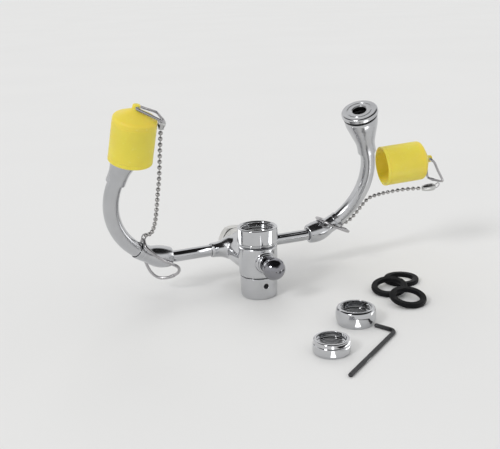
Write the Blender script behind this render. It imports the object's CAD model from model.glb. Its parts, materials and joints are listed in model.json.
"""Looks for the faucet-mounted eyewash: detailed pieces, materials, light and camera.

Lengths in the tables are millimetres in the eyewash's own frame, whose Z axis is the
axis of its inlet and outlet; `at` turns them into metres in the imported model's frame.
"""

import json
from math import atan2, cos, pi, radians, sin, sqrt

import bmesh
import bpy
from mathutils import Matrix, Vector

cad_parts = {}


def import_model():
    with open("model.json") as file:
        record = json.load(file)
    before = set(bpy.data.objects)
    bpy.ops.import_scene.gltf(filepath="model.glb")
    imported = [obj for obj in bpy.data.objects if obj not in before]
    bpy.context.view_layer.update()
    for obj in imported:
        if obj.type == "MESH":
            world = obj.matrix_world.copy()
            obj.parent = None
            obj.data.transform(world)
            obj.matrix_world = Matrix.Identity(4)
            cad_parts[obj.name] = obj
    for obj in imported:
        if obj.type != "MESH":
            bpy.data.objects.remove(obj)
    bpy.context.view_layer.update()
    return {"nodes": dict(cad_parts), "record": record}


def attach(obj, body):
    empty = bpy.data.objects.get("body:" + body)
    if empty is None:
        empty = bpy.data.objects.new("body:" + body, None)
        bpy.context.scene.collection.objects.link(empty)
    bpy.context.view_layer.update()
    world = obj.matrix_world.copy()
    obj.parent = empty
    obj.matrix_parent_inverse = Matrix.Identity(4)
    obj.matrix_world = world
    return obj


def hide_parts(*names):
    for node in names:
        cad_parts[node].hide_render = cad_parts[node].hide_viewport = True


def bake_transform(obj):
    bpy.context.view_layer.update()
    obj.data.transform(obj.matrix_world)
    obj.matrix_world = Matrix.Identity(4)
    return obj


MM = 0.001
X, Y, Z = Vector((1, 0, 0)), Vector((0, 1, 0)), Vector((0, 0, 1))
STATION = Vector((-23.6, 45.9, 0.0)) * MM
ROOT = "frame"

VALVE_Z = 28.2
ARM_Y, ARM_STRAIGHT, ARM_BEND_R = 32.0, 50.0, 50.5
ARM_TURN, ARM_LEAN = radians(110.0), radians(17.0)
TUBE_JOINT = 66.0
CAP_EYE = 38.2
LEFT_CAP_MOUTH = Vector((-87.2, 7.0, 108.7))
RIGHT_CAP_MOUTH = Vector((108.5, 8.6, 81.2))
BEAD_D, BEAD_PITCH = 3.2, 4.0
TETHER_WIRE_R, LOOP_WIRE_R = 1.1, 0.9
SMALL_ADAPTER_AT, LARGE_ADAPTER_AT = (1.2, -109.5, 0.0), (36.6, -77.4, 0.0)

CAMERA_AT = Vector((-218.68, -521.22, 223.22))
CAMERA_AZ, CAMERA_EL, CAMERA_ROLL = radians(-22.2475), radians(16.7303), radians(2.0136)
CAMERA_LENS = 59.36
# the sky's strength as it lights the set, and in mirrors: where it is bright and dark
SKY_LIGHT, SKY_BRIGHT, SKY_DARK = 0.78, 0.86, 0.015
FLOOR_HALF_SIZE, FLOOR_Z = 40.0, -0.00005


def at(point):
    """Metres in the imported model's frame for a point in the station's millimetres."""
    return STATION + Vector(point) * MM


# --- node helpers --------------------------------------------------------------------

def set_range(node, start, end, low, high):
    """Map start..end to low..high."""
    names = ("From Min", "From Max", "To Min", "To Max")
    for key, number in zip(names, (start, end, low, high)):
        node.inputs[key].default_value = number


class Nodes:
    """Short hand for building one material's node tree."""

    def __init__(self, name):
        self.mat = bpy.data.materials.new(name)
        self.mat.use_nodes = True
        self.tree = self.mat.node_tree
        self.shader = self.tree.nodes["Principled BSDF"]
        self.coords = self.add("ShaderNodeTexCoord").outputs["Object"]

    def add(self, kind, **settings):
        node = self.tree.nodes.new(kind)
        for key, value in settings.items():
            setattr(node, key, value)
        return node

    def link(self, source, target):
        self.tree.links.new(source, target)

    def set(self, **values):
        for key, value in values.items():
            self.shader.inputs[key.replace("_", " ")].default_value = value

    def noise(self, scale, detail=3.0, roughness=0.5, stretch=None):
        node = self.add("ShaderNodeTexNoise")
        node.inputs["Scale"].default_value = scale
        node.inputs["Detail"].default_value = detail
        node.inputs["Roughness"].default_value = roughness
        source = self.coords
        if stretch:
            mapping = self.add("ShaderNodeMapping")
            mapping.inputs["Scale"].default_value = stretch
            self.link(self.coords, mapping.inputs["Vector"])
            source = mapping.outputs["Vector"]
        self.link(source, node.inputs["Vector"])
        return node.outputs["Fac"]

    def spread(self, value, low, high, start=0.3, end=0.7):
        """The value, which mostly runs from start to end, spread over low to high."""
        node = self.add("ShaderNodeMapRange")
        set_range(node, start, end, low, high)
        self.link(value, node.inputs["Value"])
        return node.outputs["Result"]

    def mix(self, factor, low, high):
        node = self.add("ShaderNodeMix", data_type="RGBA")
        self.link(factor, node.inputs["Factor"])
        for socket, colour in ((node.inputs["A"], low), (node.inputs["B"], high)):
            if isinstance(colour, tuple):
                socket.default_value = (*colour, 1.0)
            else:
                self.link(colour, socket)
        return node.outputs["Result"]

    def bump(self, height, strength, distance, under=None):
        node = self.add("ShaderNodeBump")
        node.inputs["Strength"].default_value = strength
        node.inputs["Distance"].default_value = distance
        self.link(height, node.inputs["Height"])
        if under is not None:
            self.link(under, node.inputs["Normal"])
        return node.outputs["Normal"]

    def into(self, **sources):
        for key, source in sources.items():
            self.link(source, self.shader.inputs[key.replace("_", " ")])


def edge_wear(nodes):
    """About 0.5 on flat surface, more on outer edges, less in corners."""
    return nodes.add("ShaderNodeNewGeometry").outputs["Pointiness"]


# --- materials -----------------------------------------------------------------------

def chrome(name, tone=(0.56, 0.565, 0.58), dull=(0.47, 0.475, 0.49), rough=(0.05, 0.12),
           wave=0.05):
    """Plated brass: a faint waviness from polishing, water film and wipe marks."""
    n = Nodes(name)
    n.set(Metallic=1.0)
    film = n.noise(28.0, 4.0, 0.6)
    wipe = n.noise(90.0, 3.0, 0.55, (1.0, 1.0, 0.25))
    n.into(Base_Color=n.mix(n.spread(film, 0.0, 1.0, 0.35, 0.75), tone, dull),
           Roughness=n.spread(wipe, rough[0], rough[1]),
           Normal=n.bump(n.noise(140.0, 2.0, 0.4), wave, 0.0004))
    return n.mat


def cast_chrome(name):
    """Plating over a casting: softer, with a slight orange peel."""
    n = Nodes(name)
    n.set(Metallic=1.0)
    film = n.noise(40.0, 4.0, 0.6)
    peel = n.bump(n.noise(900.0, 2.0, 0.5), 0.10, 0.0001)
    n.into(Base_Color=n.mix(n.spread(film, 0.0, 1.0), (0.62, 0.625, 0.64), (0.54, 0.545, 0.56)),
           Roughness=n.spread(n.noise(120.0, 3.0), 0.14, 0.24),
           Normal=n.bump(n.noise(110.0, 2.0, 0.4), 0.08, 0.0004, peel))
    return n.mat


def machined(name, colour, rough=(0.22, 0.38)):
    """Turned or drawn metal with fine tool lines round or along it."""
    n = Nodes(name)
    n.set(Metallic=1.0)
    lines = n.noise(260.0, 3.0, 0.6, (1.0, 1.0, 6.0))
    darker = tuple(c * 0.75 for c in colour)
    n.into(Base_Color=n.mix(n.spread(n.noise(70.0), 0.0, 1.0), colour, darker),
           Roughness=n.spread(lines, *rough),
           Normal=n.bump(lines, 0.12, 0.0001))
    return n.mat


def satin_nickel(name):
    """Blasted and plated: nearly white, with a fine even grain."""
    n = Nodes(name)
    n.set(Metallic=0.4)
    cloud = n.spread(n.noise(50.0), 0.0, 1.0)
    n.into(Base_Color=n.mix(cloud, (0.74, 0.735, 0.71), (0.63, 0.625, 0.61)),
           Roughness=n.spread(n.noise(200.0), 0.42, 0.58),
           Normal=n.bump(n.noise(1500.0, 2.0), 0.2, 0.0001))
    return n.mat


def yellow_vinyl(name):
    """Dip-moulded cap: soft satin skin, slightly deeper colour in patches, a few scuffs."""
    n = Nodes(name)
    n.set(IOR=1.47, Subsurface_Weight=0.55, Subsurface_Scale=0.004,
          Subsurface_Radius=(1.0, 0.7, 0.15))
    cloud = n.spread(n.noise(26.0, 4.0, 0.55), 0.0, 1.0, 0.35, 0.7)
    base = n.mix(cloud, (0.86, 0.69, 0.078), (0.78, 0.615, 0.072))
    scuff = n.spread(n.noise(420.0, 5.0, 0.7, (1.0, 0.3, 1.0)), 0.0, 1.0, 0.62, 0.74)
    grain = n.bump(n.noise(1600.0, 2.0), 0.10, 0.0001)
    n.into(Base_Color=n.mix(scuff, base, (0.88, 0.76, 0.22)),
           Roughness=n.spread(n.noise(180.0, 3.0), 0.36, 0.52),
           Normal=n.bump(n.noise(60.0, 2.0), 0.10, 0.0005, grain))
    return n.mat


def rubber(name):
    """Black rubber with a fine grain and a little dust."""
    n = Nodes(name)
    n.set(Specular_IOR_Level=0.15)
    dust = n.spread(n.noise(240.0, 5.0, 0.7), 0.0, 1.0, 0.55, 0.8)
    grain = n.noise(1400.0, 3.0, 0.6)
    n.into(Base_Color=n.mix(dust, (0.004, 0.004, 0.005), (0.018, 0.0175, 0.017)),
           Roughness=n.spread(n.noise(90.0, 3.0), 0.42, 0.66),
           Normal=n.bump(grain, 0.25, 0.0001))
    return n.mat


def black_steel(name):
    """Black oxide, rubbed bright on its edges."""
    n = Nodes(name)
    n.set(Metallic=0.85)
    rubbed = n.spread(edge_wear(n), 0.0, 1.0, 0.53, 0.62)
    patch = n.spread(n.noise(300.0, 4.0, 0.6), 0.0, 1.0, 0.35, 0.75)
    dark = n.mix(patch, (0.010, 0.010, 0.012), (0.024, 0.023, 0.025))
    n.into(Base_Color=n.mix(rubbed, dark, (0.13, 0.13, 0.135)),
           Roughness=n.spread(n.noise(500.0, 3.0), 0.32, 0.5),
           Normal=n.bump(n.noise(900.0, 3.0), 0.12, 0.0001))
    return n.mat


def white_acetal(name):
    """Moulded plastic, faintly cloudy."""
    n = Nodes(name)
    n.set(IOR=1.48, Subsurface_Weight=0.15, Subsurface_Scale=0.001)
    cloud = n.spread(n.noise(60.0), 0.0, 1.0)
    n.into(Base_Color=n.mix(cloud, (0.78, 0.78, 0.75), (0.70, 0.70, 0.67)),
           Roughness=n.spread(n.noise(300.0), 0.35, 0.5),
           Normal=n.bump(n.noise(800.0), 0.08, 0.0001))
    return n.mat


def floor_paper(name):
    """Matt backdrop, with no sheen to pick up the glow cards."""
    n = Nodes(name)
    n.set(Specular_IOR_Level=0.0)
    cloud = n.spread(n.noise(3.0, 3.0), 0.0, 1.0)
    n.into(Base_Color=n.mix(cloud, (0.795, 0.795, 0.79), (0.78, 0.78, 0.775)),
           Roughness=n.spread(n.noise(30.0), 0.75, 0.9))
    return n.mat


# --- mesh helpers --------------------------------------------------------------------

def linked(name, data):
    """A new object in the scene."""
    obj = bpy.data.objects.new(name, data)
    bpy.context.scene.collection.objects.link(obj)
    return obj


def freed(name, bm):
    """A new mesh with what the bmesh holds; the bmesh is freed."""
    mesh = bpy.data.meshes.new(name)
    bm.to_mesh(mesh)
    bm.free()
    return mesh


def bridge(bm, ring, after):
    """Faces between two rings that have as many points."""
    for k in range(len(ring)):
        j = (k + 1) % len(ring)
        bm.faces.new((ring[k], ring[j], after[j], after[k]))


def piece(name, mesh, mat, body=ROOT, replaces=(), weighted=True):
    obj = linked(name, mesh)
    mesh.materials.append(mat)
    mesh.polygons.foreach_set("use_smooth", [True] * len(mesh.polygons))
    if weighted:
        obj.modifiers.new("even_shading", "WEIGHTED_NORMAL").keep_sharp = True
    if replaces:
        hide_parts(*replaces)
    if body:
        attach(obj, body)
    return obj


def frame_of(where, axis=Z, side=X):
    """Matrix that stands Z along axis at a place given in the station's millimetres."""
    z = Vector(axis).normalized()
    if abs(Vector(side).normalized().dot(z)) > 0.999:
        side = Z
    x = (Vector(side) - Vector(side).dot(z) * z).normalized()
    return Matrix.Translation(at(where)) @ Matrix((x, z.cross(x), z)).transposed().to_4x4()


def finish_mesh(name, bm, matrix=None, sharp=None):
    """Weld, face outwards, mark edges sharper than an angle and turn into a mesh."""
    bmesh.ops.remove_doubles(bm, verts=bm.verts, dist=1e-7)
    bmesh.ops.recalc_face_normals(bm, faces=bm.faces)
    if sharp is not None:
        for edge in bm.edges:
            if len(edge.link_faces) == 2 and edge.calc_face_angle(0.0) > sharp:
                edge.smooth = False
    if matrix is not None:
        bm.transform(matrix)
    return freed(name, bm)


def rounded(profile, radius, steps=4):
    """The closed or axis-to-axis profile with its corners rounded; points are (r, z) in mm."""
    closed = profile[0][0] > 0
    points = [Vector((*p[:2], 0.0)) for p in profile]
    radii = [p[2] if len(p) > 2 else radius for p in profile]
    out, count = [], len(points)
    for i, p in enumerate(points):
        if not closed and i in (0, count - 1):
            out.append((p.x, p.y))
            continue
        a, b = points[i - 1] - p, points[(i + 1) % count] - p
        if a.length < 1e-6 or b.length < 1e-6:
            continue
        if a.normalized().dot(b.normalized()) < -0.995 or radii[i] == 0:
            out.append((p.x, p.y))
            continue
        cut = min(radii[i], 0.45 * a.length, 0.45 * b.length)
        start, end = p + a.normalized() * cut, p + b.normalized() * cut
        for k in range(steps + 1):
            t = k / steps
            q = (1 - t) ** 2 * start + 2 * t * (1 - t) * p + t * t * end
            out.append((max(0.0, q.x), q.y))
    return out


def lathe_bm(profile, steps=96):
    """Solid of revolution about Z; points are (r, z) in mm and the mesh is in metres."""
    closed = profile[0][0] > 0
    bm = bmesh.new()
    rings = []
    for k in range(steps):
        a = 2 * pi * k / steps
        rings.append([bm.verts.new((r * cos(a) * MM, r * sin(a) * MM, z * MM))
                      for r, z in profile])
    count = len(profile)
    for k in range(steps):
        ring, after = rings[k], rings[(k + 1) % steps]
        for i in range(count if closed else count - 1):
            j = (i + 1) % count
            bm.faces.new((ring[i], ring[j], after[j], after[i]))
    bmesh.ops.remove_doubles(bm, verts=bm.verts, dist=1e-7)
    bmesh.ops.dissolve_degenerate(bm, edges=bm.edges, dist=1e-8)
    return bm


def lathe(name, profile, where=(0, 0, 0), axis=Z, side=X, radius=0.3, steps=96):
    return finish_mesh(name, lathe_bm(rounded(profile, radius), steps),
                       frame_of(where, axis, side))


def sweep_bm(points, section, cyclic=False):
    """Section points (in metres) carried along points (in metres) without twisting."""
    bm = bmesh.new()
    count = len(points)
    tangents = []
    for i in range(count):
        if cyclic:
            d = points[(i + 1) % count] - points[i - 1]
        else:
            d = points[min(count - 1, i + 1)] - points[max(0, i - 1)]
        tangents.append(d.normalized())
    normal = tangents[0].orthogonal().normalized()
    frames = []
    for i, tangent in enumerate(tangents):
        if i:
            normal = tangents[i - 1].rotation_difference(tangent) @ normal
            normal = (normal - normal.dot(tangent) * tangent).normalized()
        frames.append((normal, tangent.cross(normal)))
    slip = 0.0
    if cyclic:
        back = tangents[-1].rotation_difference(tangents[0]) @ frames[-1][0]
        slip = atan2(back.dot(frames[0][1]), back.dot(frames[0][0]))
    rings = []
    for i, (u, v) in enumerate(frames):
        turn = -slip * i / count
        u, v = cos(turn) * u + sin(turn) * v, cos(turn) * v - sin(turn) * u
        rings.append([bm.verts.new(points[i] + (x * u + y * v)) for x, y in section])
    for i in range(count if cyclic else count - 1):
        bridge(bm, rings[i], rings[(i + 1) % count])
    if not cyclic:
        bm.faces.new(rings[0])
        bm.faces.new(rings[-1])
    return bm


def circle(radius, sides=16):
    angles = [2 * pi * k / sides for k in range(sides)]
    return [(radius * cos(a), radius * sin(a)) for a in angles]


def smooth_route(points, spacing, cyclic=False):
    """Points at about the given spacing on one smooth curve through the route's points."""
    count = len(points)
    out = []
    for i in range(count if cyclic else count - 1):
        near = (i - 1, i, i + 1, i + 2)
        p = [points[n % count if cyclic else max(0, min(count - 1, n))] for n in near]
        steps = max(1, round((p[2] - p[1]).length / spacing))
        for k in range(steps):
            t = k / steps
            out.append(0.5 * (2 * p[1] + (p[2] - p[0]) * t
                              + (2 * p[0] - 5 * p[1] + 4 * p[2] - p[3]) * t * t
                              + (3 * p[1] - p[0] - 3 * p[2] + p[3]) * t ** 3))
    if not cyclic:
        out.append(points[-1].copy())
    return out


def joined(name, parts, matrix=None):
    """One mesh out of several bmeshes, which are freed."""
    whole = bmesh.new()
    for bm in parts:
        bmesh.ops.recalc_face_normals(bm, faces=bm.faces)
        mesh = freed("part", bm)
        whole.from_mesh(mesh)
        bpy.data.meshes.remove(mesh)
    if matrix is not None:
        whole.transform(matrix)
    return freed(name, whole)


# --- camera and light ----------------------------------------------------------------

def camera():
    bpy.context.scene.view_settings.view_transform = "Standard"
    forward = Vector((-sin(CAMERA_AZ) * cos(CAMERA_EL), cos(CAMERA_AZ) * cos(CAMERA_EL),
                      -sin(CAMERA_EL)))
    right = Vector((cos(CAMERA_AZ), sin(CAMERA_AZ), 0.0))
    up = right.cross(forward)
    rolled_right = cos(CAMERA_ROLL) * right - sin(CAMERA_ROLL) * up
    rolled_up = sin(CAMERA_ROLL) * right + cos(CAMERA_ROLL) * up
    data = bpy.data.cameras.new("camera")
    data.sensor_width = 36.0
    data.lens = CAMERA_LENS
    data.clip_start, data.clip_end = 0.01, 80.0
    obj = linked("camera", data)
    turn = Matrix((rolled_right, rolled_up, -forward)).transposed()
    obj.matrix_world = Matrix.Translation(at(CAMERA_AT)) @ turn.to_4x4()
    bpy.context.scene.camera = obj


def far_light(name, direction, strength, angle, glint=True):
    """Wide, even light from a direction, which leaves no pool of light on the floor."""
    data = bpy.data.lights.new(name, "SUN")
    data.energy = strength
    data.angle = angle
    obj = linked(name, data)
    obj.rotation_mode = "QUATERNION"
    obj.rotation_quaternion = Vector(direction).to_track_quat("Z", "Y")
    obj.visible_glossy = glint


def world():
    """Pale studio: the tent is open, and so dark, above and behind the camera."""
    made = bpy.data.worlds.new("studio")
    bpy.context.scene.world = made
    made.use_nodes = True
    tree = made.node_tree
    links, nodes = tree.links, tree.nodes
    background = nodes["Background"]
    coords = nodes.new("ShaderNodeTexCoord")
    forward = Vector((-sin(CAMERA_AZ), cos(CAMERA_AZ), 0.0))

    def dot_with(vector):
        node = nodes.new("ShaderNodeVectorMath")
        node.operation = "DOT_PRODUCT"
        links.new(coords.outputs["Generated"], node.inputs[0])
        node.inputs[1].default_value = vector
        return node.outputs["Value"]

    def ramp(value, start, end, low, high):
        node = nodes.new("ShaderNodeMapRange")
        node.interpolation_type = "SMOOTHSTEP"
        set_range(node, start, end, low, high)
        links.new(value, node.inputs["Value"])
        return node.outputs["Result"]

    def math(operation, a, b):
        node = nodes.new("ShaderNodeMath")
        node.operation = operation
        for socket, value in zip(node.inputs, (a, b)):
            if isinstance(value, float):
                socket.default_value = value
            else:
                links.new(value, socket)
        return node.outputs[0]

    above = ramp(dot_with(Z), 0.34, 0.64, 0.0, 1.0)
    behind_camera = ramp(dot_with(forward), 0.52, 0.36, 0.0, 1.0)
    dark = math("MULTIPLY", above, behind_camera)
    glossy = ramp(dark, 0.0, 1.0, SKY_BRIGHT, SKY_DARK)
    path = nodes.new("ShaderNodeLightPath")
    mixed = nodes.new("ShaderNodeMix")
    mixed.inputs["A"].default_value = SKY_LIGHT
    links.new(path.outputs["Is Glossy Ray"], mixed.inputs["Factor"])
    links.new(glossy, mixed.inputs["B"])
    background.inputs["Color"].default_value = (1.0, 1.0, 1.0, 1.0)
    links.new(mixed.outputs["Result"], background.inputs["Strength"])


def glow_card(name, where, size, strength, axis=Z, side=X):
    """White reflector that only shows up in what mirrors it."""
    bm = bmesh.new()
    x, y = size[0] * MM / 2, size[1] * MM / 2
    bm.faces.new([bm.verts.new(c) for c in ((-x, -y, 0), (x, -y, 0), (x, y, 0), (-x, y, 0))])
    bm.transform(frame_of(where, axis, side))
    mesh = freed(name, bm)
    mat = bpy.data.materials.new(name)
    mat.use_nodes = True
    shader = mat.node_tree.nodes["Principled BSDF"]
    shader.inputs["Base Color"].default_value = (0, 0, 0, 1)
    shader.inputs["Emission Color"].default_value = (1, 1, 1, 1)
    shader.inputs["Emission Strength"].default_value = strength
    mesh.materials.append(mat)
    obj = linked(name, mesh)
    obj.visible_camera = obj.visible_diffuse = obj.visible_shadow = False


def floor():
    bm = bmesh.new()
    bmesh.ops.create_grid(bm, x_segments=8, y_segments=8, size=FLOOR_HALF_SIZE)
    mesh = freed("floor", bm)
    mesh.materials.append(floor_paper("floor_paper"))
    obj = linked("floor", mesh)
    obj.location = (0, 0, FLOOR_Z)


def studio():
    world()
    floor()
    far_light("key", (-4.6, -2.0, 3.6), 0.81, radians(14))
    far_light("back", (1.6, 5.2, 5.2), 0.31, radians(28), glint=False)
    right = Vector((cos(CAMERA_AZ), sin(CAMERA_AZ), 0.0))
    toward = Vector((sin(CAMERA_AZ), -cos(CAMERA_AZ), 0.0))
    glow_card("card_left", -30 * right - 6 * toward + 42 * Z, (15, 15), 2.6, right, toward)
    glow_card("card_right", 160 * right + 44 * toward + Z, (70, 46), 4.0, Z, right)
    for foot in (SMALL_ADAPTER_AT, LARGE_ADAPTER_AT):
        glow_card("streak", Vector(foot) + 37 * toward + 0.4 * Z, (5, 46), 3.0, Z, right)


# --- chains --------------------------------------------------------------------------

CHAIN_ROUTES = {
    "left": [(-75.8, 28.2, 48.9), (-73.8, 25.0, 49.8), (-72.0, 20.8, 52.8), (-70.8, 16.8, 59.0),
             (-70.2, 14.0, 66.0), (-69.8, 11.3, 74.0), (-69.4, 8.9, 82.1), (-68.5, 6.1, 93.2),
             (-67.8, 4.8, 103.8), (-67.2, 3.5, 114.2), (-66.7, 2.5, 121.8), (-66.4, 1.7, 127.4)],
    "right": [(86.0, 42.2, 29.2), (91.0, 41.6, 28.8), (97.0, 38.6, 32.6), (102.6, 36.4, 39.0),
              (107.0, 34.4, 45.4), (111.6, 31.6, 50.8), (117.0, 25.0, 54.6), (122.0, 18.0, 57.4),
              (128.6, 12.0, 59.5), (135.0, 7.6, 60.4), (141.0, 4.5, 60.7)],
}
COUPLINGS = {
    "left": ((-66.3, 1.5, 128.3), (-65.5, -0.6, 135.6)),
    "right": ((142.0, 4.0, 60.6), (153.4, 2.0, 61.0)),
}


def line_length(points):
    return sum((b - a).length for a, b in zip(points, points[1:]))


def point_along(points, distance):
    for a, b in zip(points, points[1:]):
        step = (b - a).length
        if distance <= step:
            return a.lerp(b, distance / step)
        distance -= step
    return points[-1].copy()


def bead_chain(side, body, mat):
    """Hollow beads on dumb-bell links."""
    route = smooth_route([at(p) for p in CHAIN_ROUTES[side]], 1.0 * MM)
    length = line_length(route)
    count = int((length - BEAD_D * MM) / (BEAD_PITCH * MM))
    pitch = (length - BEAD_D * MM) / count
    parts = []
    for k in range(count + 1):
        bead = bmesh.new()
        bmesh.ops.create_uvsphere(bead, u_segments=20, v_segments=12, radius=BEAD_D / 2 * MM)
        centre = point_along(route, BEAD_D / 2 * MM + k * pitch)
        along = point_along(route, min(length, BEAD_D / 2 * MM + k * pitch + 1 * MM)) - point_along(
            route, max(0.0, BEAD_D / 2 * MM + k * pitch - 1 * MM))
        turn = along.to_track_quat("Z", "X").to_matrix().to_4x4()
        bead.transform(Matrix.Translation(centre) @ turn)
        parts.append(bead)
    parts.append(sweep_bm(route[1:-1], circle(0.42 * MM, 8)))
    name = side + "_bead_chain"
    obj = piece(name, joined(name, parts), mat, body, [side + "_chain"],
                weighted=False)
    return obj, route, length


def coupling(side, body, mat):
    """Folded sheet connector that snaps over the last bead."""
    start, end = (Vector(p) for p in COUPLINGS[side])
    length = (end - start).length
    profile = [(0.0, length), (1.0, length - 0.1), (1.9, length - 0.7), (2.7, length - 2.0),
               (2.9, length * 0.6), (2.8, length * 0.4), (2.4, 2.1), (2.0, 1.3), (2.3, 0.7),
               (1.6, 0.1), (0.0, 0.0)]
    shell = lathe(side + "_connector", profile, start, end - start, Y, 0.6, 64)
    foot = start + (end - start) * 0.16 + 2.6 * Z
    slot = prism("slot", 1.1, length * 0.62, foot, end - start, Z, 4, pi / 4)
    mesh = sharpen(carve(shell, [slot]))
    return piece(side + "_connector", mesh, mat, body, [side + "_chain_coupling"])


def chains(mats):
    """The left chain stretches from its ring to the cap; the right one swings with its cap."""
    left_link = coupling("left", "left_cap", mats["bright_steel"])
    right_link = coupling("right", "right_cap", mats["bright_steel"])
    for side, link, body in (("left", left_link, None), ("right", right_link, "right_cap")):
        obj, route, length = bead_chain(side, body, mats["bead_steel"])
        if side == "left":
            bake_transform(obj)


# --- valve body ----------------------------------------------------------------------

def evaluated(mesh, modifiers):
    """The mesh after (kind, settings) modifiers; the mesh given is freed."""
    obj = linked("work", mesh)
    for kind, settings in modifiers:
        mod = obj.modifiers.new(kind, kind)
        for key, value in settings.items():
            setattr(mod, key, value)
    graph = bpy.context.evaluated_depsgraph_get()
    made = bpy.data.meshes.new_from_object(obj.evaluated_get(graph))
    made.name = mesh.name
    bpy.data.objects.remove(obj, do_unlink=True)
    return made


def carve(mesh, tools, operation="DIFFERENCE"):
    """Boolean with each tool mesh in turn."""
    for tool_mesh in tools:
        tool = linked("tool", tool_mesh)
        mesh = evaluated(mesh, [("BOOLEAN", {"operation": operation, "solver": "EXACT",
                                             "object": tool})])
        bpy.data.objects.remove(tool, do_unlink=True)
    return mesh


def sharpen(mesh, angle=radians(38)):
    """Mark the edges that are sharper than an angle."""
    bm = bmesh.new()
    bm.from_mesh(mesh)
    for edge in bm.edges:
        edge.smooth = len(edge.link_faces) == 2 and edge.calc_face_angle(0.0) < angle
    bm.to_mesh(mesh)
    bm.free()
    return mesh


def prism(name, across_flats, length, where, axis, side=X, sides=6, turn=0.0):
    """Prism that stands at a place along an axis; its sizes are in mm."""
    bm = bmesh.new()
    radius = across_flats / 2 / cos(pi / sides) * MM
    angles = [turn + 2 * pi * k / sides for k in range(sides)]
    rings = []
    for z in (0.0, length * MM):
        rings.append([bm.verts.new((radius * cos(a), radius * sin(a), z)) for a in angles])
    bridge(bm, *rings)
    bm.faces.new(rings[0][::-1])
    bm.faces.new(rings[1])
    return finish_mesh(name, bm, frame_of(where, axis, side))


def valve_body(mats):
    """Casting: barrel, valve chamber, shoulders and arm roots run into each other."""
    axis_foot = (0, 0, VALVE_Z)
    barrel = [(0, 43.8), (9.4, 43.8), (9.4, 38.9), (12.6, 38.9), (14.0, 37.8), (14.0, 17.2),
              (13.2, 16.3), (10.5, 16.3), (10.5, 14.8), (0, 14.8)]
    chamber = [(0, 42.6), (10.9, 42.6), (11.4, 41.8), (11.4, 24.0), (10.3, 15.5),
               (10.0, 0.0), (8.4, -8.0), (7.4, -14.2), (6.8, -15.0), (0, -15.0)]
    shoulder = [(0, 35.6), (5.0, 35.6), (7.6, 34.4), (8.8, 31.6), (9.0, 26.0), (9.0, 2.0), (0, 2.0)]
    root = [(0, 25.0), (5.2, 25.0), (5.6, 24.4), (5.7, 20.0), (6.3, 16.5), (7.8, 13.4),
            (9.0, 11.0), (9.2, 2.0), (0, 2.0)]
    shapes = [lathe("barrel", barrel, radius=0.0, steps=128),
              lathe("chamber", chamber, axis_foot, Y, radius=1.5, steps=128)]
    for sign in (-1, 1):
        shapes.append(lathe("root", root, (0, ARM_Y, VALVE_Z), sign * X, Z, radius=1.5, steps=96))
        shapes.append(lathe("shoulder", shoulder, (sign * 5.2, 0, VALVE_Z - 1.6), Y,
                            radius=1.5, steps=96))
    whole = bmesh.new()
    for mesh in shapes:
        whole.from_mesh(mesh)
        bpy.data.meshes.remove(mesh)
    mesh = evaluated(freed("valve_casting", whole),
                     [("REMESH", {"mode": "VOXEL", "voxel_size": 0.42 * MM}),
                      ("SMOOTH", {"factor": 0.5, "iterations": 14})])
    bore = [(0, 60), (9.3, 60), (9.3, 36.6), (7.6, 36.6), (7.6, -4.0), (5.6, -5.0), (5.6, -30),
            (0, -30)]
    socket = [(0, 60), (4.6, 60), (4.6, 13.4), (3.2, 13.4), (3.2, 0), (0, 0)]
    tools = [lathe("waterway", [(0, 60), (6.5, 60), (6.5, 0), (0, 0)], radius=0, steps=64),
             lathe("bore", bore, axis_foot, Y, radius=0, steps=64),
             lathe("socket", socket, (0, ARM_Y, VALVE_Z), -X, Z, radius=0, steps=48),
             lathe("socket", socket, (0, ARM_Y, VALVE_Z), X, Z, radius=0, steps=48),
             lathe("groove", [(11.0, 43.0), (11.0, 41.4), (8.4, 41.4), (8.4, 43.0)], radius=0,
                   steps=64)]
    mesh = sharpen(carve(mesh, tools))
    piece("valve_casting", mesh, mats["cast"], replaces=["valve_body"])
    band = [(10.8, 42.5), (11.5, 41.7), (11.5, 33.4), (11.2, 33.0), (10.6, 33.0), (10.6, 42.5)]
    piece("chamber_band", lathe("chamber_band", band, axis_foot, Y, radius=0.2), mats["satin"])


# --- threads and gauze ---------------------------------------------------------------

def thread_bm(radius, start, end, pitch, depth, inward=True, steps=72):
    """Helical ridge standing off a bore (inward) or a spigot; sizes in mm."""
    bm = bmesh.new()
    turns = (end - start) / pitch
    count = int(turns * steps)
    foot, tip = pitch * 0.46, pitch * 0.06
    way = -1 if inward else 1
    section = [(-0.12 * way, -foot), (depth * way, -tip), (depth * way, tip), (-0.12 * way, foot)]
    rings = []
    for k in range(count + 1):
        a, z = 2 * pi * k / steps, start + (end - start) * k / count
        fade = min(1.0, 4.0 * k / steps, 4.0 * (count - k) / steps)
        ring = []
        for dr, dz in section:
            r = radius + (dr * fade if dr * way > 0 else dr)
            ring.append(bm.verts.new((r * cos(a) * MM, r * sin(a) * MM, (z + dz * fade) * MM)))
        rings.append(ring)
    for ring, after in zip(rings, rings[1:]):
        bridge(bm, ring, after)
    bm.faces.new(rings[0])
    bm.faces.new(rings[-1])
    return bm


def gauze_bm(reach, pitch, height, wire=0.13, wave=0.12):
    """Woven wire cloth inside a radius; height(r) gives its level; sizes in mm."""
    parts = []
    count = int(reach / pitch)
    for way in (0, 1):
        for n in range(-count, count + 1):
            off = n * pitch
            half = sqrt(max(0.0, reach * reach - off * off))
            if half < pitch:
                continue
            steps = max(4, int(2 * half / pitch * 2))
            line = []
            for k in range(steps + 1):
                t = -half + 2 * half * k / steps
                over = wave * cos(pi * (t / pitch + n + way))
                x, y = (t, off) if way else (off, t)
                line.append(Vector((x, y, height(sqrt(t * t + off * off)) + over)) * MM)
            parts.append(sweep_bm(line, circle(wire * MM, 5)))
    return parts


# --- inlet, diverter, bonnet and outlet ----------------------------------------------

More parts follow.
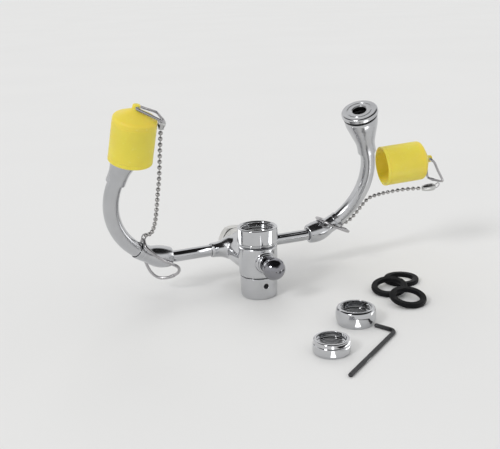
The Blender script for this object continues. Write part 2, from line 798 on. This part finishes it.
def inlet(mats):
    nut = [(13.9, 52.2), (14.5, 51.6), (14.5, 41.6, 0.12), (14.25, 41.4, 0.12), (14.25, 41.0, 0.12),
           (14.5, 40.8, 0.12), (14.5, 40.0), (14.1, 39.4), (9.9, 39.4), (9.9, 41.2), (12.0, 41.2),
           (12.0, 51.4), (12.8, 52.2)]
    parts = [lathe_bm(rounded(nut, 0.35), 160), thread_bm(12.0, 42.4, 51.0, 0.94, 0.5)]
    nut_mesh = sharpen(joined("coupling_nut_fine", parts, frame_of((0, 0, 0))))
    piece("coupling_nut_fine", nut_mesh, mats["collar"], "coupling_nut", ["coupling_nut"])
    washer = [(11.6, 46.1), (11.6, 44.1), (6.9, 44.1), (6.9, 46.1)]
    piece("inlet_washer_fine", lathe("inlet_washer_fine", washer, radius=0.35), mats["rubber"],
          replaces=["inlet_washer"])
    rim = [(11.5, 47.0), (11.5, 46.4), (6.6, 46.4), (5.9, 46.1), (5.7, 46.4), (6.2, 47.0)]
    cone = [lathe_bm(rounded(rim, 0.15), 96)]
    cone += gauze_bm(6.1, 0.62, lambda r: 44.5 + 2.0 * min(1.0, r / 6.1))
    piece("inlet_gauze", joined("inlet_gauze", cone, frame_of((0, 0, 0))), mats["bright_steel"],
          replaces=["inlet_strainer"], weighted=False)


def spline_profile(profile, spacing=0.5):
    """A soft outline through the points, for a turned ball or handle."""
    points = [Vector((r, z, 0.0)) for r, z in profile]
    return [(max(0.0, p.x), p.y) for p in smooth_route(points, spacing)]


def diverter(mats):
    foot = (0, 0, VALVE_Z)
    gland = [(6.2, 17.4), (6.7, 16.9), (6.7, 15.3), (5.3, 15.3), (5.3, 8.6), (2.9, 8.6),
             (2.9, 10.6), (4.4, 10.6), (4.4, 12.8), (2.9, 12.8), (2.9, 17.4)]
    piece("gland_fine", lathe("gland_fine", gland, foot, -Y, radius=0.5), mats["chrome"],
          replaces=["diverter_gland"])
    stem = [(0, 26.0), (2.6, 26.0), (2.6, -11.6), (1.7, -11.6), (1.7, -19.5), (0, -19.5)]
    piece("stem_fine", lathe("stem_fine", stem, foot, -Y, radius=0.25, steps=64),
          mats["bright_steel"], "diverter", ["diverter_stem"])
    ball = [(0, 35.6), (1.6, 35.45), (3.0, 35.0), (5.6, 33.3), (7.4, 30.6), (8.0, 27.6),
            (7.3, 24.1), (5.4, 21.4), (4.0, 20.2)]
    knob = spline_profile(ball) + [(3.6, 20.05), (2.9, 20.2), (2.9, 26.4), (0, 26.4)]
    piece("knob_fine", lathe("knob_fine", knob, foot, -Y, radius=0.0, steps=128), mats["dark"],
          "diverter", ["diverter_knob"])


def bonnet(mats):
    foot = (0, 0, VALVE_Z)
    plug = prism("bonnet_fine", 21.2, 9.4, (0, 44.4, VALVE_Z), Y)
    cones = [(0, 54.1), (8.2, 54.1), (11.0, 51.4), (12.6, 48.6), (12.6, 45.4), (10.8, 44.2),
             (0, 44.2)]
    plug = carve(plug, [lathe("cones", cones, foot, Y, radius=0.4, steps=128)], "INTERSECT")
    spigot = [(0, 45.4), (9.0, 45.4), (9.0, 38.2), (8.4, 37.6), (0, 37.6)]
    plug = carve(plug, [lathe("spigot", spigot, foot, Y, radius=0.2, steps=96)], "UNION")
    ring = [(6.9, 54.6), (6.9, 53.4), (6.3, 53.4), (6.3, 54.6)]
    plug = carve(plug, [lathe("ring", ring, foot, Y, radius=0.0, steps=64)])
    plug = evaluated(plug, [("BEVEL", {"width": 0.18 * MM, "segments": 2, "limit_method": "ANGLE",
                                       "angle_limit": radians(25)})])
    piece("bonnet_fine", sharpen(plug), mats["satin"], replaces=["rear_bonnet"])


def outlet(mats):
    nozzle = [(10.9, 16.0), (13.4, 16.0), (13.4, 8.0), (13.1, 1.2), (12.5, 0.0), (10.9, 0.0),
              (10.9, 1.0)]
    body = lathe("outlet_fine", nozzle, radius=0.45, steps=160)
    hole = lathe("hole", [(0, 6), (1.9, 6), (1.9, 2.3), (2.35, 1.8), (2.35, 0), (0, 0)],
                 (0, -15.5, 10.4), Y, radius=0, steps=40)
    body = sharpen(carve(body, [hole]))
    piece("outlet_fine", body, mats["cast"], replaces=["outlet_nozzle"])
    screw = lathe("screw_fine", [(0, 1.6), (1.6, 1.6), (1.6, 0.0), (0, 0.0)], (0, -12.6, 10.4), Y,
                  radius=0.25, steps=48)
    socket = prism("socket", 1.5, 1.4, (0, -13.0, 10.4), Y)
    piece("screw_fine", sharpen(carve(screw, [socket])), mats["black_steel"],
          replaces=["nozzle_set_screw"])
    housing = [(10.6, 8.2), (10.6, 0.7), (9.4, 0.4), (8.6, 1.6), (8.6, 6.4), (9.3, 7.0), (9.3, 8.2)]
    parts = [lathe_bm(rounded(housing, 0.25), 96)]
    parts += gauze_bm(8.9, 0.62, lambda r: 5.2, 0.14)
    piece("aerator_fine", joined("aerator_fine", parts, frame_of((0, 0, 0))), mats["white"],
          replaces=["aerator_housing"])
    rim = [(9.0, 8.2), (9.0, 7.3), (8.2, 7.3), (8.2, 8.2)]
    parts = [lathe_bm(rounded(rim, 0.15), 80)] + gauze_bm(8.4, 0.5, lambda r: 7.7, 0.1, 0.1)
    piece("aerator_gauze", joined("aerator_gauze", parts, frame_of((0, 0, 0))),
          mats["bright_steel"], replaces=["aerator_screen"], weighted=False)


# --- arms and spray heads ------------------------------------------------------------

ARM_END = ARM_STRAIGHT + ARM_BEND_R * ARM_TURN


def arm_frame(sign, s):
    """Point, direction and sideways direction s mm out along an arm; sign is -1 for the left."""
    bend = max(0.0, s - ARM_STRAIGHT) / ARM_BEND_R
    out = min(s, ARM_STRAIGHT) + ARM_BEND_R * sin(bend)
    rise = ARM_BEND_R * (1 - cos(bend))
    point = Vector((sign * out, ARM_Y - rise * sin(ARM_LEAN), VALVE_Z + rise * cos(ARM_LEAN)))
    along = Vector((sign * cos(bend), -sin(bend) * sin(ARM_LEAN), sin(bend) * cos(ARM_LEAN)))
    return point, along, Vector((0.0, cos(ARM_LEAN), sin(ARM_LEAN)))


def along_arm(name, sign, profile, radius=0.3, steps=64, spacing=1.6):
    """A turned shape bent along an arm; profile points are (radius, distance out) in mm."""
    corners = rounded(profile, radius)
    points = []
    for (r0, s0), (r1, s1) in zip(corners, corners[1:] + corners[:1]):
        cuts = max(1, int(abs(s1 - s0) / spacing))
        points += [(r0 + (r1 - r0) * k / cuts, s0 + (s1 - s0) * k / cuts) for k in range(cuts)]
    bm = bmesh.new()
    rings = []
    for r, s in points:
        point, along, side = arm_frame(sign, s)
        other = along.cross(side)
        rings.append([bm.verts.new(at(point + r * (cos(a) * side + sin(a) * other)))
                      for a in (2 * pi * k / steps for k in range(steps))])
    for ring, after in zip(rings, rings[1:] + rings[:1]):
        bridge(bm, ring, after)
    return sharpen(finish_mesh(name, bm))


def arms(mats):
    for sign, side in ((-1, "left"), (1, "right")):
        thin = [(4.3, 13.8), (4.3, TUBE_JOINT - 0.3), (3.3, TUBE_JOINT - 0.3), (3.3, 13.8)]
        piece(side + "_thin_tube", along_arm(side + "_thin_tube", sign, thin, 0.15), mats["chrome"],
              replaces=[side + "_arm_tube"])
        bend = [(5.5, TUBE_JOINT), (5.5, ARM_END + 6.0), (4.4, ARM_END + 6.0), (4.4, TUBE_JOINT)]
        piece(side + "_bent_tube", along_arm(side + "_bent_tube", sign, bend, 0.15), mats["tube"],
              replaces=[side + "_arm_bend"])
        union(mats, sign, side)
        spray_head(mats, sign, side)


def union(mats, sign, side):
    """Swollen sleeve with rolled ends and a fine ring at its thick end."""
    start, end = 56.0, 84.0
    outer = []
    for k in range(29):
        t = k / 28
        swell = 6.3 * (1.0 + 0.30 * sin(pi * min(1.0, 1.35 * t + 0.12)))
        outer.append((swell, start + (end - start) * t))
    outer[0] = (outer[0][0] - 0.2, start, 0.8)
    outer[-1] = (outer[-1][0], end, 0.8)
    groove = [(6.3, 79.6, 0.1), (6.0, 79.9, 0.1), (6.0, 80.3, 0.1), (6.3, 80.6, 0.1)]
    outer = [p for p in outer if p[1] < 79.4] + groove + [p for p in outer if p[1] > 80.8]
    step = TUBE_JOINT - 0.5
    bore = [(5.9, end, 0.3), (5.9, step, 0.1), (4.7, step, 0.1), (4.7, start, 0.3)]
    piece(side + "_union_fine", along_arm(side + "_union_fine", sign, outer + bore, 0.0, 80, 1.0),
          mats["tube"], replaces=[side + "_arm_union"])


def spray_head(mats, sign, side):
    """Bell with a dark seam under its rim and a drilled insert in its mouth."""
    foot, axis, _ = arm_frame(sign, ARM_END)
    outer = [(12.6, 38.3, 0.8), (13.4, 37.5, 0.8), (13.4, 35.0, 0.3), (11.9, 34.6, 0.2),
             (11.9, 32.2, 0.2)]
    flare = spline_profile([(12.3, 31.0), (11.7, 26.0), (9.4, 17.6), (7.4, 10.4), (6.9, 6.0),
                            (6.9, 1.0)], 1.0)
    inner = [(5.9, 1.0), (5.9, 7.6), (5.2, 8.4), (8.2, 19.0), (10.4, 27.4), (11.0, 34.6),
             (5.1, 36.6, 0.4), (5.1, 37.9, 0.4), (5.6, 38.3, 0.3), (8.6, 38.3, 0.1),
             (8.8, 38.1, 0.1), (9.1, 38.1, 0.1), (9.3, 38.3, 0.1)]
    profile = outer + [(r, z, 0.0) for r, z in flare] + inner
    mesh = sharpen(lathe(side + "_head_fine", profile, foot, axis, Y, 0.25, 144))
    piece(side + "_head_fine", mesh, mats["head"], replaces=[side + "_spray_head"])
    seam = [(11.5, 35.1), (12.95, 35.1), (12.9, 34.0), (12.3, 32.6), (11.5, 32.2)]
    piece(side + "_seam", lathe(side + "_seam", seam, foot, axis, Y, 0.15, 96), mats["rubber"])
    insert = [(10.3, 31.2), (10.1, 29.8), (1.2, 29.8), (1.2, 33.4), (5.4, 33.0)]
    disc = lathe(side + "_insert_fine", insert, foot, axis, Y, 0.2, 72)
    holes = []
    for k in range(8):
        a = 2 * pi * k / 8
        jet = Vector((3.6 * cos(a), 3.6 * sin(a), 28.0))
        where = foot + frame_of((0, 0, 0), axis, Y).to_3x3() @ jet
        holes.append(prism("jet", 1.1, 7.0, where, axis, Y, 16))
    piece(side + "_insert_fine", sharpen(carve(disc, holes)), mats["black_steel"],
          replaces=[side + "_nozzle_insert"])


# --- caps and tethers ----------------------------------------------------------------

def cap_seats():
    """Mouth and axis of each cap, the two directions that its loop lies in, and its bore."""
    tilted = Vector((0.11, -0.27, 0.956)).normalized()
    out = (X - X.dot(tilted) * tilted).normalized()
    over_shoulder = 0.93 * out - 0.37 * tilted
    left = (LEFT_CAP_MOUTH, tilted, over_shoulder, tilted.cross(out), tilted.cross(out))
    turned_in = Vector((0.976, -0.2, 0.083)).normalized()
    skewed = Vector((0.2, -0.98, 0.0)).normalized()
    eye_bore = Vector((-0.2, -0.976, 0.0)).normalized()
    right = (RIGHT_CAP_MOUTH, turned_in, Vector((0.33, -0.02, -0.944)), skewed, eye_bore)
    return {"left": left, "right": right}


def dust_cap(mats, side, mouth, axis, bore):
    """Dip-moulded cap: rolled lip, drip rings by its shoulder and a pierced tip."""
    outer = [(0, 40.2), (2.5, 40.0, 0.7), (2.75, 37.3, 0.6), (3.4, 36.5, 0.8), (13.6, 31.5, 1.2),
             (14.8, 30.0, 1.2), (14.85, 27.6, 0.3), (14.72, 27.3, 0.2), (14.72, 26.9, 0.2),
             (14.87, 26.6, 0.3), (14.93, 3.0, 0.3), (14.75, 2.7, 0.2), (14.75, 2.3, 0.2),
             (15.0, 1.9, 0.3), (15.0, 0.0, 0.45)]
    inner = [(14.0, 0.0, 0.45), (14.0, 24.6, 1.0), (12.4, 29.8, 1.5), (0, 35.2)]
    mesh = lathe(side + "_cap_fine", outer + inner, mouth, axis, bore, 0.3, 144)
    eye = lathe("eye", [(0, 4), (1.7, 4), (1.3, 2.6), (1.3, -2.6), (1.7, -4), (0, -4)],
                mouth + CAP_EYE * axis, bore, axis, 0.0, 32)
    cap = piece(side + "_cap_fine", sharpen(carve(mesh, [eye])), mats["yellow"], side + "_cap",
                [side + "_dust_cap"])
    cap.visible_glossy = False


LOOP_OUTLINE = [
    # along the loop from the eye, and across it
    (0.0, 3.3), (0.0, 0.0), (0.0, -3.3), (2.8, -4.6), (9.0, -5.8), (16.6, -7.8), (18.5, -5.6),
    (18.5, 5.6), (16.6, 7.8), (9.0, 5.8), (2.8, 4.6)]
LEFT_TETHER = [
    (-76.2, 29.6, 45.6), (-76.4, 22.6, 41.5), (-71.0, 19.4, 35.5), (-64.5, 19.4, 30.0),
    (-58.0, 21.0, 26.0), (-52.8, 24.6, 21.4), (-52.6, 28.4, 16.2), (-58.4, 33.6, 12.0),
    (-65.0, 38.6, 11.6), (-69.8, 42.2, 16.6), (-73.2, 42.4, 26.6), (-76.4, 38.8, 38.0)]
RIGHT_TETHER = (Vector((77.0, 30.0, 33.8)), Vector((-0.88, -0.14, 0.45)), Vector((0.45, 0.0, 0.88)))


def closed_wire(name, points, radius, mat, body, node):
    """Bent wire ring whose ends meet in a short sleeve."""
    route = smooth_route([at(p) for p in points], 0.8 * MM, True)
    parts = [sweep_bm(route, circle(radius * MM, 14), cyclic=True)]
    count = len(route)
    sleeve = [route[(count // 2 + k) % count] for k in range(-2, 3)]
    parts.append(sweep_bm(sleeve, circle((radius + 0.22) * MM, 14)))
    piece(name, joined(name, parts), mat, body, [node], weighted=False)


def end_link(name, start, end, mat, body):
    """Small split ring that ties a chain's end bead to its tether or loop."""
    start, end = at(start), at(end)
    along = (end - start).normalized()
    across = along.cross(Y).normalized()
    half = (end - start).length / 2 + 0.9 * MM
    middle = (start + end) / 2
    route = [middle + half * cos(a) * along + 1.5 * MM * sin(a) * across
             for a in (2 * pi * k / 32 for k in range(32))]
    mesh = joined(name, [sweep_bm(route, circle(0.4 * MM, 10), cyclic=True)])
    piece(name, mesh, mat, body, weighted=False)


def caps_and_rings(mats):
    for side, (mouth, axis, lie, across, bore) in cap_seats().items():
        dust_cap(mats, side, mouth, axis, bore)
        eye = mouth + CAP_EYE * axis
        points = [eye + a * lie + c * (across if a else bore) for a, c in LOOP_OUTLINE]
        closed_wire(side + "_loop_fine", points, LOOP_WIRE_R, mats["wire_steel"], side + "_cap",
                    side + "_cap_loop")
    closed_wire("left_tether_fine", LEFT_TETHER, TETHER_WIRE_R, mats["wire_steel"], ROOT,
                "left_tether_ring")
    centre, up, hole = RIGHT_TETHER
    v = hole.cross(up).normalized()
    angles = [2 * pi * k / 24 for k in range(24)]
    ring = [centre + 13.5 * (cos(a) * up + sin(a) * v) for a in angles]
    closed_wire("right_tether_fine", ring, TETHER_WIRE_R, mats["wire_steel"], ROOT,
                "right_tether_ring")
    for name, start, end, body in (
            ("left_end_link", (-76.2, 29.6, 45.6), (-75.8, 28.2, 48.9), ROOT),
            ("right_end_link", (84.72, 40.34, 29.85), (86.0, 42.2, 29.2), ROOT),
            ("right_loop_link", (153.2, 2.0, 61.0), (155.0, 1.2, 63.0), "right_cap")):
        end_link(name, start, end, mats["wire_steel"], body)


# --- loose kit -----------------------------------------------------------------------

def kit(mats):
    """Two threaded adapters, the hex key and three washers, loose on the floor."""
    small = [(10.8, 9.3), (11.3, 8.7), (11.3, 6.6, 0.15), (11.8, 6.0), (11.8, 1.2), (11.2, 0.0),
             (8.4, 0.0), (8.4, 5.4, 0.2), (9.4, 6.0, 0.2), (9.4, 9.3, 0.3)]
    large = [(12.0, 11.5), (12.9, 10.6, 0.5), (13.5, 7.6, 0.6), (13.5, 4.2, 1.2), (12.3, 0.0),
             (9.4, 0.0), (9.4, 6.2, 0.2), (10.4, 6.8, 0.2), (10.4, 11.5, 0.3)]
    for name, profile, foot, threads in (
            ("adapter_small", small, SMALL_ADAPTER_AT,
             ((8.4, 0.7, 5.0, 0.94, 0.4), (9.4, 6.6, 8.8, 0.94, 0.35))),
            ("adapter_large", large, LARGE_ADAPTER_AT,
             ((9.4, 0.7, 5.8, 0.94, 0.4), (10.4, 7.4, 11.0, 0.94, 0.4)))):
        parts = [lathe_bm(rounded(profile, 0.35), 160)] + [thread_bm(*t) for t in threads]
        mesh = sharpen(joined(name + "_fine", parts, frame_of(foot)))
        piece(name + "_fine", mesh, mats["collar"], name, [name])
    hex_key(mats)
    washer = [(12.6, 3.2), (13.0, 1.7, 0.1), (13.0, 1.5, 0.1), (12.6, 0.0), (8.7, 0.0),
              (8.3, 1.6, 0.1), (8.7, 3.2)]
    seats = (((105.0, -26.0, 0.0), (0, 0, 1)), ((86.0, -40.0, 2.4), (-0.13, -0.12, 1)),
             ((86.0, -64.0, 2.7), (0.02, -0.2, 1)))
    for number, (where, axis) in enumerate(seats, 1):
        name = f"washer_{number}"
        mesh = lathe(name + "_fine", washer, where, axis, X, 0.45, 128)
        piece(name + "_fine", mesh, mats["rubber"], name, [name])


def hex_key(mats):
    """Six-sided wire bent to an L, its cut ends chamfered."""
    flats = 2.5
    z = Vector((0, 0, flats / 2))
    short_end, corner = Vector((44.2, -89.6, 0)), Vector((50.8, -103.4, 0))
    long_end = Vector((-5.6, -144.4, 0))
    a, b = (short_end - corner).normalized(), (long_end - corner).normalized()
    bend = [corner + 4.0 * ((1 - t) ** 2 * a + t ** 2 * b) for t in (k / 12 for k in range(13))]
    ends = [short_end, short_end - 0.35 * a], [long_end - 0.35 * b, long_end]
    points = [at(p + z) for p in [*ends[0], *bend, *ends[1]]]
    eased_corner_r = flats / 2 / cos(pi / 6) * MM * 0.985
    section = []
    for k in range(6):
        for turn in (-0.06, 0.06):
            angle = 2 * pi * k / 6 + turn
            section.append((eased_corner_r * cos(angle), eased_corner_r * sin(angle)))
    bm = bmesh.new()
    rings = []
    for i, point in enumerate(points):
        along = (points[min(i + 1, len(points) - 1)] - points[max(0, i - 1)]).normalized()
        side = along.cross(Z)
        scale = 0.82 if i in (0, len(points) - 1) else 1.0
        rings.append([bm.verts.new(point + scale * (x * side + y * Z)) for x, y in section])
    for ring, after in zip(rings, rings[1:]):
        bridge(bm, ring, after)
    bm.faces.new(rings[0])
    bm.faces.new(rings[-1])
    piece("hex_key_fine", finish_mesh("hex_key_fine", bm, sharp=radians(20)), mats["black_steel"],
          "hex_key", ["hex_key"])


# --- the rest ------------------------------------------------------------------------

def materials():
    return {
        "chrome": chrome("chrome_plate"),
        "cast": cast_chrome("cast_chrome"),
        "collar": chrome("collar_chrome", (0.60, 0.605, 0.62), (0.52, 0.525, 0.54), (0.03, 0.08),
                         0.03),
        "tube": chrome("tube_chrome", (0.58, 0.585, 0.60), rough=(0.15, 0.25), wave=0.12),
        "head": chrome("head_chrome", (0.58, 0.585, 0.60), rough=(0.15, 0.24), wave=0.10),
        "satin": satin_nickel("satin_nickel"),
        "dark": chrome("dark_chrome", (0.29, 0.29, 0.31), (0.22, 0.22, 0.24), (0.10, 0.18)),
        "bright_steel": machined("bright_steel", (0.66, 0.66, 0.65), (0.12, 0.24)),
        "bead_steel": machined("bead_steel", (0.50, 0.49, 0.48), (0.2, 0.34)),
        "wire_steel": machined("wire_steel", (0.50, 0.49, 0.50), (0.2, 0.34)),
        "brass": machined("brass", (0.62, 0.45, 0.20)),
        "yellow": yellow_vinyl("yellow_vinyl"),
        "rubber": rubber("black_rubber"),
        "black_steel": black_steel("black_steel"),
        "white": white_acetal("white_acetal"),
    }


def dress_plain_nodes(mats):
    """Procedural materials for the CAD nodes that stay."""
    chosen = {"chrome": "chrome", "dark_chrome": "dark", "brass": "brass",
              "stainless_steel": "wire_steel", "black_oxide_steel": "black_steel",
              "black_rubber": "rubber", "yellow_plastic": "yellow", "white_acetal": "white"}
    slots = {row["node"]: row["material_slot"] for row in frame["record"]["subparts"]}
    for name, obj in frame["nodes"].items():
        obj.data.materials.clear()
        obj.data.materials.append(mats[chosen[slots[name]]])


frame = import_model()
camera()
MATS = materials()
dress_plain_nodes(MATS)
chains(MATS)
valve_body(MATS)
inlet(MATS)
diverter(MATS)
bonnet(MATS)
outlet(MATS)
arms(MATS)
caps_and_rings(MATS)
kit(MATS)
studio()
